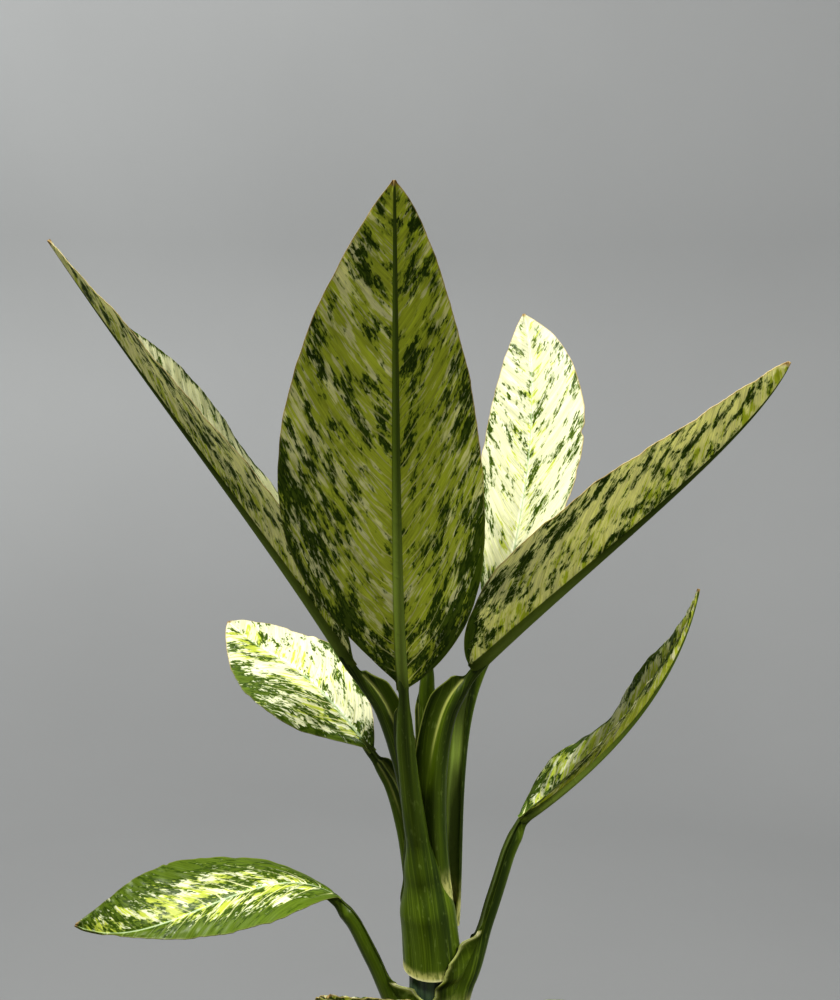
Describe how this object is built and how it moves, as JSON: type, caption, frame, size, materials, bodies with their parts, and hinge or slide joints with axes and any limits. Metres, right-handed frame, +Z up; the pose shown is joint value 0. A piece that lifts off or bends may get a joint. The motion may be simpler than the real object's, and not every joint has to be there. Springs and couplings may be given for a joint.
{
  "type": "potted dieffenbachia",
  "caption": "House plant with large marbled cream and green leaves on sheathed stalks round one cane, standing in a plain tapered clay pot of soil.",
  "frame": {"origin": "middle of the pot's flat underside, on the pot's axis", "axes": "+Z up along the pot and the cane, -Y towards the front leaf, +X to the right of someone looking at it"},
  "size_m": [0.3367, 0.2449, 0.6],
  "materials": {
    "clay": "unglazed fired clay, matt, faint turning lines and pale mineral bloom",
    "soil": "moist peat and bark potting mix with a little perlite",
    "cane": "smooth green cane with pale leaf scars",
    "stalk": "fleshy green leaf stalk, satin, with pale thin sheath margins",
    "blade": "waxy leaf, cream and yellow-green marbled with dark green flecks along the veins"
  },
  "bodies": {
    "root": {"pot": "clay", "soil": "soil", "cane": "cane", "stalk_inner": "stalk", "stalk_rear": "stalk", "stalk_upper_left": "stalk", "stalk_upper_right": "stalk", "stalk_mid_left": "stalk", "stalk_front": "stalk", "stalk_mid_right": "stalk", "stalk_low_left": "stalk", "stalk_low_right": "stalk", "stalk_low_front": "stalk", "blade_inner": "blade", "blade_rear": "blade", "blade_upper_left": "blade", "blade_upper_right": "blade", "blade_mid_left": "blade", "blade_front": "blade", "blade_mid_right": "blade", "blade_low_left": "blade", "blade_low_right": "blade", "blade_low_front": "blade"}
  },
  "joints": []
}
